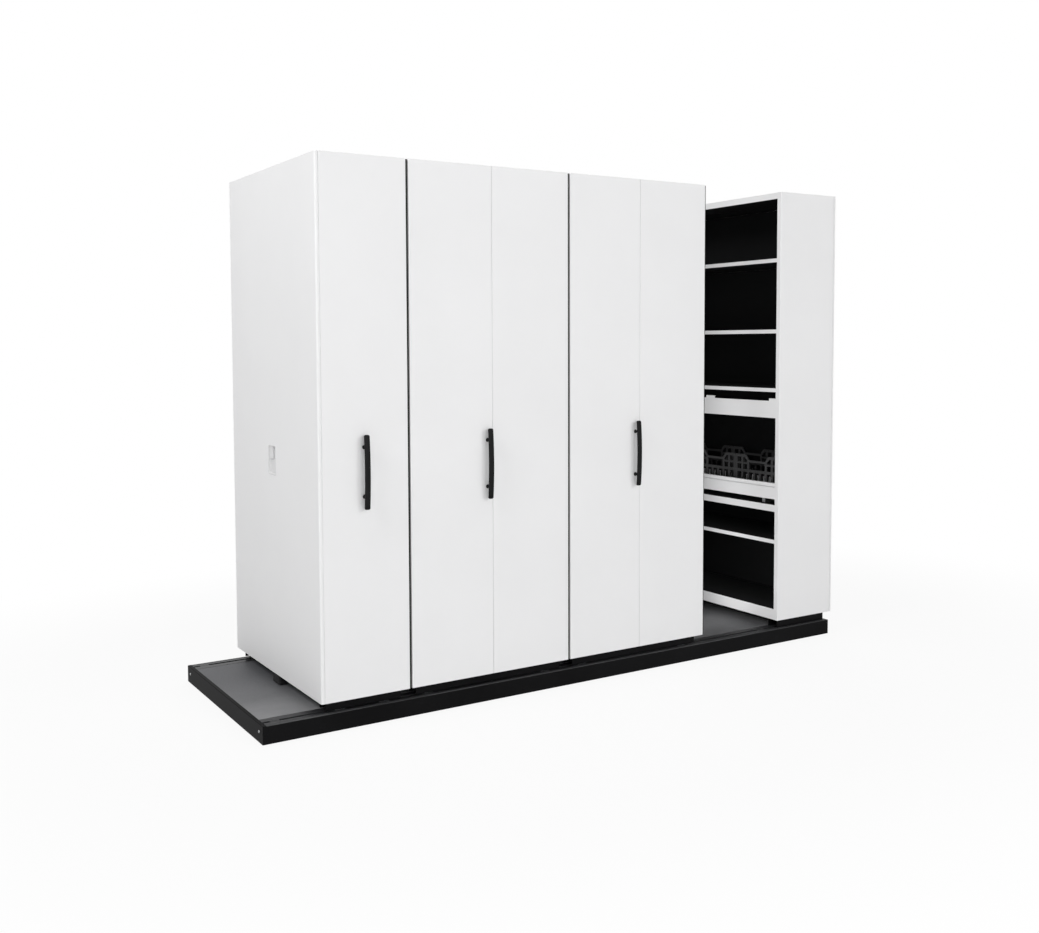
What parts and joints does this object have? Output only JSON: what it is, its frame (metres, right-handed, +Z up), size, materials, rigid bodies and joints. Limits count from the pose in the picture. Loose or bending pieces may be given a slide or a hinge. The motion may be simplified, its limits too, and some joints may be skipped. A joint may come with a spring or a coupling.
{
  "type": "mobile filing shelving",
  "caption": "Open-front filing shelving in units that roll on a low track platform, with a pull-out suspension file frame and a roll-out media tray.",
  "frame": {"origin": "on the floor, under the middle of the whole part's outer box", "axes": "+X along the tracks from the closed single unit to the fixed unit, +Y from the front end panels to the rear ones, +Z up"},
  "size_m": [3.1812, 1.037, 2.308],
  "materials": {
    "white_steel": "white powder coat, satin",
    "black_steel": "black powder coat, satin",
    "track_steel": "grey coat with a bright running groove",
    "zinc_steel": "zinc plated",
    "deck_board": "bluish grey laminate, satin",
    "black_rubber": "matt",
    "black_plastic": "moulded, fine grain"
  },
  "bodies": {
    "platform": {"front_track": "track_steel", "rear_track": "track_steel", "deck_boards": "deck_board", "deck_bearers": "zinc_steel", "long_fascias": "black_steel", "end_fascias": "black_steel", "fascia_screws": "zinc_steel", "levelling_feet": "black_plastic", "track_end_stops": "black_plastic", "fixed_base": "black_steel", "fixed_end_panels": "white_steel", "fixed_back_panel": "white_steel", "fixed_uprights": "white_steel", "fixed_shelves": "white_steel", "fixed_shelf_clips": "zinc_steel", "fixed_top_cover": "white_steel", "fixed_slide_rails": "zinc_steel"},
    "file_frame": {"file_frame": "white_steel", "file_frame_slides": "zinc_steel"},
    "tray": {"roll_out_tray": "white_steel", "tray_slides": "zinc_steel", "tray_racks": "black_plastic"},
    "left_unit": {"left_base": "black_steel", "left_bearings": "zinc_steel", "left_end_panels": "white_steel", "left_uprights": "white_steel", "left_shelves": "white_steel", "left_shelf_clips": "zinc_steel", "left_top_cover": "white_steel", "left_bow_handle": "black_plastic", "left_seals": "black_rubber", "left_side_panel": "white_steel", "left_flush_pull": "white_steel", "left_bump_stop": "black_rubber"},
    "left_wheels_1": {"left_axle_1": "zinc_steel"},
    "left_wheels_2": {"left_axle_2": "zinc_steel"},
    "middle_unit": {"middle_base": "black_steel", "middle_bearings": "zinc_steel", "middle_end_panels": "white_steel", "middle_uprights": "white_steel", "middle_shelves": "white_steel", "middle_shelf_clips": "zinc_steel", "middle_top_cover": "white_steel", "middle_bow_handle": "black_plastic", "middle_seals": "black_rubber"},
    "middle_wheels_1": {"middle_axle_1": "zinc_steel"},
    "middle_wheels_2": {"middle_axle_2": "zinc_steel"},
    "right_unit": {"right_base": "black_steel", "right_bearings": "zinc_steel", "right_end_panels": "white_steel", "right_uprights": "white_steel", "right_shelves": "white_steel", "right_shelf_clips": "zinc_steel", "right_top_cover": "white_steel", "right_bow_handle": "black_plastic", "right_seals": "black_rubber"},
    "right_wheels_1": {"right_axle_1": "zinc_steel"},
    "right_wheels_2": {"right_axle_2": "zinc_steel"}
  },
  "joints": [
    {"name": "left_unit_slide", "type": "slide", "parent": "platform", "child": "left_unit", "axis": [1, 0, 0], "range_m": [-0.235, 0]},
    {"name": "middle_unit_slide", "type": "slide", "parent": "left_unit", "child": "middle_unit", "axis": [1, 0, 0], "range_m": [0, 0.248]},
    {"name": "right_unit_slide", "type": "slide", "parent": "middle_unit", "child": "right_unit", "axis": [1, 0, 0], "range_m": [0, 0.248]},
    {"name": "file_frame_slide", "type": "slide", "parent": "platform", "child": "file_frame", "axis": [1, 0, 0], "range_m": [-0.3, 0]},
    {"name": "tray_slide", "type": "slide", "parent": "platform", "child": "tray", "axis": [1, 0, 0], "range_m": [-0.3, 0]},
    {"name": "left_wheels_1_turn", "type": "hinge", "parent": "left_unit", "child": "left_wheels_1", "pos_m": [-1.2434, 0, 0.1093], "axis": [0, 1, 0], "range_deg": [-360, 360]},
    {"name": "left_wheels_2_turn", "type": "hinge", "parent": "left_unit", "child": "left_wheels_2", "pos_m": [-1.0434, 0, 0.1093], "axis": [0, 1, 0], "range_deg": [-360, 360]},
    {"name": "middle_wheels_1_turn", "type": "hinge", "parent": "middle_unit", "child": "middle_wheels_1", "pos_m": [-0.8314, 0, 0.1093], "axis": [0, 1, 0], "range_deg": [-360, 360]},
    {"name": "middle_wheels_2_turn", "type": "hinge", "parent": "middle_unit", "child": "middle_wheels_2", "pos_m": [-0.2314, 0, 0.1093], "axis": [0, 1, 0], "range_deg": [-360, 360]},
    {"name": "right_wheels_1_turn", "type": "hinge", "parent": "right_unit", "child": "right_wheels_1", "pos_m": [-0.0194, 0, 0.1093], "axis": [0, 1, 0], "range_deg": [-360, 360]},
    {"name": "right_wheels_2_turn", "type": "hinge", "parent": "right_unit", "child": "right_wheels_2", "pos_m": [0.5806, 0, 0.1093], "axis": [0, 1, 0], "range_deg": [-360, 360]}
  ],
  "couplings": [
    {"joint": "left_wheels_1_turn", "follows": "left_unit_slide", "rad_per_m": 25},
    {"joint": "left_wheels_2_turn", "follows": "left_unit_slide", "rad_per_m": 25},
    {"joint": "middle_wheels_1_turn", "follows": "middle_unit_slide", "rad_per_m": 25},
    {"joint": "middle_wheels_2_turn", "follows": "middle_unit_slide", "rad_per_m": 25},
    {"joint": "right_wheels_1_turn", "follows": "right_unit_slide", "rad_per_m": 25},
    {"joint": "right_wheels_2_turn", "follows": "right_unit_slide", "rad_per_m": 25}
  ]
}
